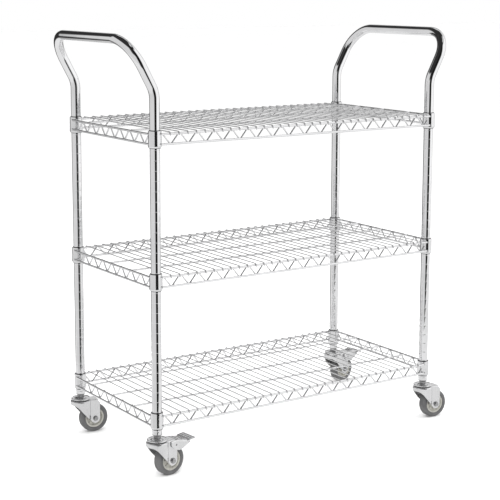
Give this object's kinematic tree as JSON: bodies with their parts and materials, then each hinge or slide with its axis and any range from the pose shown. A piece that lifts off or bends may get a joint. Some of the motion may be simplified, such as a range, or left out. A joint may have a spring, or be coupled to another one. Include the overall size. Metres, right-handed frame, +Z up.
{
  "type": "wire shelf cart",
  "caption": "Wire shelf cart with bent tube handles at both ends, grooved round posts, open wire decks and swivel casters, with pedal brakes at opposite corners.",
  "frame": {"origin": "on the floor, midway between the four posts", "axes": "+X along the shelves to the right-hand handle, +Y to the back, +Z up"},
  "size_m": [1.0669, 0.4939, 1.1158],
  "materials": {
    "chrome_tube": "bright chrome plate on drawn tube",
    "chrome_collar": "bright chrome plate, slightly softer than the tubes",
    "chrome_wire": "chrome plate over welded wire",
    "zinc_pressed": "bright zinc plate on pressed steel",
    "zinc_bright": "zinc-plated fasteners",
    "steel_plain": "plain steel, hidden",
    "race_dark": "greased ball race",
    "black_plastic": "moulded, satin",
    "hub_plastic": "moulded, satin, off-white",
    "tyre_grey": "soft grey non-marking tread",
    "brake_rubber": "moulded brake block"
  },
  "bodies": {
    "frame": {"handle_left": "chrome_tube", "handle_right": "chrome_tube", "handle_couplers": "steel_plain", "stem_sockets": "zinc_bright", "post_front_left": "chrome_tube", "post_back_left": "chrome_tube", "post_back_right": "chrome_tube", "post_front_right": "chrome_tube", "collars_bottom": "chrome_collar", "rim_bottom": "chrome_wire", "truss_bottom": "chrome_wire", "deck_bottom": "chrome_wire", "collars_middle": "chrome_collar", "rim_middle": "chrome_wire", "truss_middle": "chrome_wire", "deck_middle": "chrome_wire", "collars_top": "chrome_collar", "rim_top": "chrome_wire", "truss_top": "chrome_wire", "deck_top": "chrome_wire", "sleeves_bottom_front_left": "black_plastic", "sleeves_bottom_back_left": "black_plastic", "sleeves_bottom_back_right": "black_plastic", "sleeves_bottom_front_right": "black_plastic", "sleeves_middle_front_left": "black_plastic", "sleeves_middle_back_left": "black_plastic", "sleeves_middle_back_right": "black_plastic", "sleeves_middle_front_right": "black_plastic", "sleeves_top_front_left": "black_plastic", "sleeves_top_back_left": "black_plastic", "sleeves_top_back_right": "black_plastic", "sleeves_top_front_right": "black_plastic", "stem_front_left": "zinc_bright", "cap_front_left": "zinc_pressed", "stem_back_left": "zinc_bright", "cap_back_left": "zinc_pressed", "stem_back_right": "zinc_bright", "cap_back_right": "zinc_pressed", "stem_front_right": "zinc_bright", "cap_front_right": "zinc_pressed"},
    "swivel_front_left": {"bearing_front_left": "race_dark", "fork_front_left": "zinc_pressed", "axle_front_left": "zinc_bright", "rivets_front_left": "zinc_bright"},
    "wheel_front_left": {"hub_front_left": "hub_plastic", "tyre_front_left": "tyre_grey"},
    "brake_front_left": {"pedal_front_left": "zinc_pressed", "shoe_front_left": "brake_rubber"},
    "swivel_back_left": {"bearing_back_left": "race_dark", "fork_back_left": "zinc_pressed", "axle_back_left": "zinc_bright"},
    "wheel_back_left": {"hub_back_left": "hub_plastic", "tyre_back_left": "tyre_grey"},
    "swivel_back_right": {"bearing_back_right": "race_dark", "fork_back_right": "zinc_pressed", "axle_back_right": "zinc_bright", "rivets_back_right": "zinc_bright"},
    "wheel_back_right": {"hub_back_right": "hub_plastic", "tyre_back_right": "tyre_grey"},
    "brake_back_right": {"pedal_back_right": "zinc_pressed", "shoe_back_right": "brake_rubber"},
    "swivel_front_right": {"bearing_front_right": "race_dark", "fork_front_right": "zinc_pressed", "axle_front_right": "zinc_bright"},
    "wheel_front_right": {"hub_front_right": "hub_plastic", "tyre_front_right": "tyre_grey"}
  },
  "joints": [
    {"name": "swivel_front_left", "type": "hinge", "parent": "frame", "child": "swivel_front_left", "pos_m": [-0.4395, -0.211, 0.098], "axis": [0, 0, 1], "continuous": true},
    {"name": "roll_front_left", "type": "hinge", "parent": "swivel_front_left", "child": "wheel_front_left", "pos_m": [-0.4037, -0.20724, 0.04], "axis": [-0.1045, 0.9945, 0], "continuous": true},
    {"name": "brake_front_left", "type": "hinge", "parent": "swivel_front_left", "child": "brake_front_left", "pos_m": [-0.39574, -0.2064, 0.081], "axis": [-0.1045, 0.9945, 0], "range_deg": [0, 12]},
    {"name": "swivel_back_left", "type": "hinge", "parent": "frame", "child": "swivel_back_left", "pos_m": [-0.4395, 0.211, 0.098], "axis": [0, 0, 1], "continuous": true},
    {"name": "roll_back_left", "type": "hinge", "parent": "swivel_back_left", "child": "wheel_back_left", "pos_m": [-0.40364, 0.20786, 0.04], "axis": [0.0872, 0.9962, 0], "continuous": true},
    {"name": "swivel_back_right", "type": "hinge", "parent": "frame", "child": "swivel_back_right", "pos_m": [0.4395, 0.211, 0.098], "axis": [0, 0, 1], "continuous": true},
    {"name": "roll_back_right", "type": "hinge", "parent": "swivel_back_right", "child": "wheel_back_right", "pos_m": [0.47495, 0.21725, 0.04], "axis": [-0.1736, 0.9848, 0], "continuous": true},
    {"name": "brake_back_right", "type": "hinge", "parent": "swivel_back_right", "child": "brake_back_right", "pos_m": [0.48283, 0.21864, 0.081], "axis": [-0.1736, 0.9848, 0], "range_deg": [0, 12]},
    {"name": "swivel_front_right", "type": "hinge", "parent": "frame", "child": "swivel_front_right", "pos_m": [0.4395, -0.211, 0.098], "axis": [0, 0, 1], "continuous": true},
    {"name": "roll_front_right", "type": "hinge", "parent": "swivel_front_right", "child": "wheel_front_right", "pos_m": [0.47536, -0.21414, 0.04], "axis": [0.0872, 0.9962, 0], "continuous": true}
  ]
}
